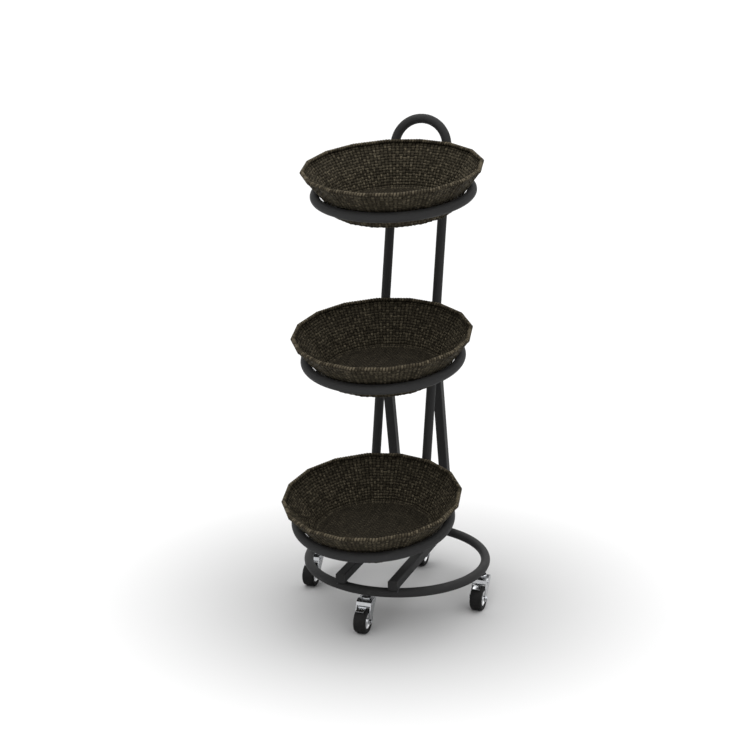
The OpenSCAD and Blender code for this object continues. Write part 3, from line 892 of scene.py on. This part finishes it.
def tyre_material(name, looks, axle, tread_radius):
    """Moulded black rubber: satin shoulders, a seam round the middle, and a tread greyed by the floor."""
    made, tree, shader = material(name)
    place = place_of(tree)
    radius, aside = round_axle(tree, axle)
    grain = noise(tree, place, 1500.0, 2.0)
    scuffs = noise(tree, place, 120.0, 4.0, 0.65)
    tread = between(radius, tread_radius - TREAD_START, tread_radius - TREAD_FULL)
    tread = tread * between(scuffs, 0.40, 0.66)
    seam = between(aside.math("ABSOLUTE"), SEAM_FLAT, SEAM_EDGE, 1.0, 0.0)
    feed(tree, mixed(tree, tread * 0.10, (*looks.tyre, 1), (*TREAD_DUST, 1)), shader.inputs["Base Color"])
    feed(tree, between(scuffs, 0.3, 0.7, 0.50, 0.66) + tread * 0.12, shader.inputs["Roughness"])
    feed(tree, bumped(tree, grain * 0.5 + scuffs * 0.3 + seam, 0.00012), shader.inputs["Normal"])
    shader.inputs["Specular IOR Level"].default_value = 0.10
    return made


def dress(nodes, made):
    """Gives CAD nodes their material."""
    for name in nodes:
        for holder in frame["nodes"][name].material_slots:
            holder.link = "OBJECT"
            holder.material = made


class RACK_OT_camera(bpy.types.Operator):
    """Sets the camera at the photograph's viewing angle"""
    bl_idname = "rack.camera"
    bl_label = "Set camera"

    def execute(self, context):
        studio = context.scene.rack_studio
        lens = bpy.data.cameras.new("camera")
        lens.lens, lens.sensor_width = studio.camera_lens, 36.0
        lens.clip_start, lens.clip_end = 0.1, 200.0
        camera = bpy.data.objects.new("camera", lens)
        context.scene.collection.objects.link(camera)
        camera.location = studio.camera_place
        around, down = studio.camera_round, studio.camera_down
        level = math.cos(down)
        back = Vector((math.sin(around) * level, -math.cos(around) * level, math.sin(down)))
        camera.rotation_mode = "QUATERNION"
        camera.rotation_quaternion = (-back).to_track_quat("-Z", "Y")
        context.scene.camera = camera
        return {"FINISHED"}


class RACK_OT_paint(bpy.types.Operator):
    """Paints the steel tube and gives the bars their plastic end caps' finish"""
    bl_idname = "rack.paint"
    bl_label = "Paint frame"

    def execute(self, context):
        looks = context.scene.rack_finishes
        paint = paint_material(looks)
        marks = handling_group()
        members = frame["record"]["behaviour"]["bodies"]["frame"]
        others = ("bar_end_caps", "_stem", "_bearing_cap", "_balls")
        dress([name for name in members if not name.endswith(others)], paint)
        dress(["bar_end_caps"], hard_material("black_plastic", marks, looks.cap, smooth=0.42, worn=0.60,
                                              metal=0.0, relief=0.00006, grime=PLASTIC_DUST, gloss=0.12))
        return {"FINISHED"}


class RACK_OT_welds(bpy.types.Operator):
    """Lays weld beads where the tubes of the frame meet"""
    bl_idname = "rack.welds"
    bl_label = "Lay welds"

    def execute(self, context):
        points, edges = [], []
        for path in weld_paths():
            first = len(points)
            points += [tuple(p) for p in path]
            edges += [(k, k + 1) for k in range(first, len(points) - 1)]
        lines = bpy.data.meshes.new("weld_lines")
        lines.from_pydata(points, edges, [])
        sizes = {"Bead": WELD_R, "Pitch": BEAD_PITCH}
        paint = bpy.data.materials["charcoal_paint"]
        piece = grow("weld_beads", weld_tree(sizes), {**sizes, "Finish": paint}, lines)
        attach(piece, "frame")
        return {"FINISHED"}


class RACK_OT_baskets(bpy.types.Operator):
    """Weaves the wall and floor of each basket and binds its rim"""
    bl_idname = "rack.baskets"
    bl_label = "Weave baskets"

    def execute(self, context):
        sizes, looks = context.scene.rack_baskets, context.scene.rack_finishes
        group = strand_group()
        wall_finish = strand_material(
            "wall_strand", group, looks.strand_dark, looks.strand_light, contrast=1.04, relief=0.00025,
            cell=0.0090, speckle=0.70, patches=0.12)
        # Painted shade: the floor's strand is a much darker copy of the wall's, so the level floor under the
        # overhead light is no brighter than the walls
        floor_finish = strand_material(
            "floor_strand", group, looks.strand_dark, looks.strand_light, contrast=0.112, relief=0.00020,
            cell=sizes.floor_pitch, speckle=0.60, patches=3.20)
        rim_finish = strand_material(
            "binding_strand", group, looks.binding_dark, looks.binding_light, contrast=0.95, relief=0.00020,
            cell=0.0037, speckle=1.60, patches=0.10)
        for_wall, for_floor, for_rim = wall_sizes(sizes), floor_sizes(sizes), rim_sizes(sizes)
        wall, floor, rim = wall_tree(for_wall), floor_tree(for_floor), rim_tree(for_rim)
        for tier in TIERS:
            place, tilt = tier_place(tier)
            spot = {"Place": place, "Tilt": tilt}
            woven = grow("basket_wall_" + tier, wall, {**for_wall, **spot, "Finish": wall_finish})
            mat = grow("basket_floor_" + tier, floor, {**for_floor, **spot, "Finish": floor_finish})
            bound = grow("rim_binding_" + tier, rim, {**for_rim, **spot, "Finish": rim_finish})
            for piece, node, slot in ((woven, "basket_", "brown_weave"), (mat, "basket_", "brown_weave"),
                                      (bound, "basket_rim_", "brown_binding")):
                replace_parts(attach(piece, "basket_" + tier), node + tier)
        return {"FINISHED"}


class RACK_OT_casters(bpy.types.Operator):
    """Plates the casters and finishes their hubs and tyres"""
    bl_idname = "rack.casters"
    bl_label = "Finish casters"

    def execute(self, context):
        looks = context.scene.rack_finishes
        marks = bpy.data.node_groups["Handling marks"]
        plated = hard_material(
            "bright_plating", marks, looks.plating, smooth=0.20, worn=0.38, metal=1.0, relief=0.00002)
        bearing = hard_material(
            "bearing_steel", marks, looks.bearing, smooth=0.16, worn=0.36, metal=1.0, relief=0.00002)
        plated_parts = ("stem", "bearing_cap", "fork", "axle_bolt", "axle_nut", "brake_pin", "brake_lever")
        for corner in CASTERS:
            name = "caster_" + corner + "_"
            dress([name + part for part in plated_parts], plated)
            dress([name + "balls"], bearing)
            low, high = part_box(name + "tyre")
            axle = (low + high) / 2
            dress([name + "hub"], hub_material("grey_hub_" + corner, marks, looks, axle))
            dress([name + "tyre"], tyre_material("black_tyre_" + corner, looks, axle, (high.z - low.z) / 2))
        return {"FINISHED"}


class RACK_OT_studio(bpy.types.Operator):
    """Sets the pale floor, darkened round the rack by a painted shadow, and the soft light"""
    bl_idname = "rack.studio"
    bl_label = "Set studio"

    def execute(self, context):
        studio = context.scene.rack_studio
        reach = 60.0
        flat = bpy.data.meshes.new("floor")
        corners = [(-reach, -reach, 0), (reach, -reach, 0), (reach, reach, 0), (-reach, reach, 0)]
        flat.from_pydata(corners, [], [(0, 1, 2, 3)])
        floor = bpy.data.objects.new("floor", flat)
        context.scene.collection.objects.link(floor)
        made, tree, shader = material("pale_floor")
        # Painted shadow: the floor's colour darkens the nearer it is to the middle of the rack
        away = Field(tree, add_node(tree, "ShaderNodeVectorMath", {
            0: place_of(tree), 1: tuple(studio.shadow_middle)}, operation="DISTANCE").outputs["Value"])
        share = between(away, studio.shadow_core, studio.shadow_fade)
        shade = mixed(tree, share, (*studio.floor_shadow, 1), (*studio.floor, 1))
        feed(tree, shade, shader.inputs["Base Color"])
        shader.inputs["Roughness"].default_value = 0.9
        shader.inputs["Specular IOR Level"].default_value = 0.0
        flat.materials.append(made)

        world = bpy.data.worlds.new("surround")
        world.use_nodes = True
        context.scene.world = world
        background = world.node_tree.nodes["Background"]
        paths = world.node_tree.nodes.new("ShaderNodeLightPath").outputs
        seen, mirrored = (Field(world.node_tree, paths[ray]) for ray in ("Is Camera Ray", "Is Glossy Ray"))
        background.inputs["Color"].default_value = (1, 1, 1, 1)
        shown = mirrored * (studio.mirrored - studio.surround)
        strength = seen * (1.0 - studio.surround) + shown + studio.surround
        feed(world.node_tree, strength, background.inputs["Strength"])

        for name, strength, turn in (("overhead", studio.overhead, studio.overhead_turn),
                                     ("front", studio.front, studio.front_turn)):
            lamp = bpy.data.lights.new(name, "SUN")
            lamp.energy, lamp.angle = strength, studio.softness
            light = bpy.data.objects.new(name, lamp)
            context.scene.collection.objects.link(light)
            light.rotation_euler = turn
        context.scene.view_settings.view_transform = "Standard"
        return {"FINISHED"}


class RACK_PT_panel(bpy.types.Panel):
    """Lists the steps that dress the rack"""
    bl_idname = "RACK_PT_panel"
    bl_label = "Produce rack"
    bl_space_type = "VIEW_3D"
    bl_region_type = "UI"
    bl_category = "Rack"

    def draw(self, context):
        for step in STEPS:
            self.layout.operator(step.bl_idname)
        for group in (context.scene.rack_baskets, context.scene.rack_finishes, context.scene.rack_studio):
            box = self.layout.box()
            for name in group.__annotations__:
                box.prop(group, name)


STEPS = (RACK_OT_camera, RACK_OT_paint, RACK_OT_welds, RACK_OT_baskets, RACK_OT_casters, RACK_OT_studio)
SETTINGS = {"rack_baskets": RackBaskets, "rack_finishes": RackFinishes, "rack_studio": RackStudio}
CLASSES = (*SETTINGS.values(), *STEPS, RACK_PT_panel)


def register():
    for made in CLASSES:
        bpy.utils.register_class(made)
    for name, group in SETTINGS.items():
        setattr(bpy.types.Scene, name, bpy.props.PointerProperty(type=group))


def unregister():
    for name in SETTINGS:
        delattr(bpy.types.Scene, name)
    for made in reversed(CLASSES):
        bpy.utils.unregister_class(made)


def main():
    register()
    for step in STEPS:
        area, action = step.bl_idname.split(".")
        getattr(getattr(bpy.ops, area), action)()


if __name__ == "__main__":
    main()
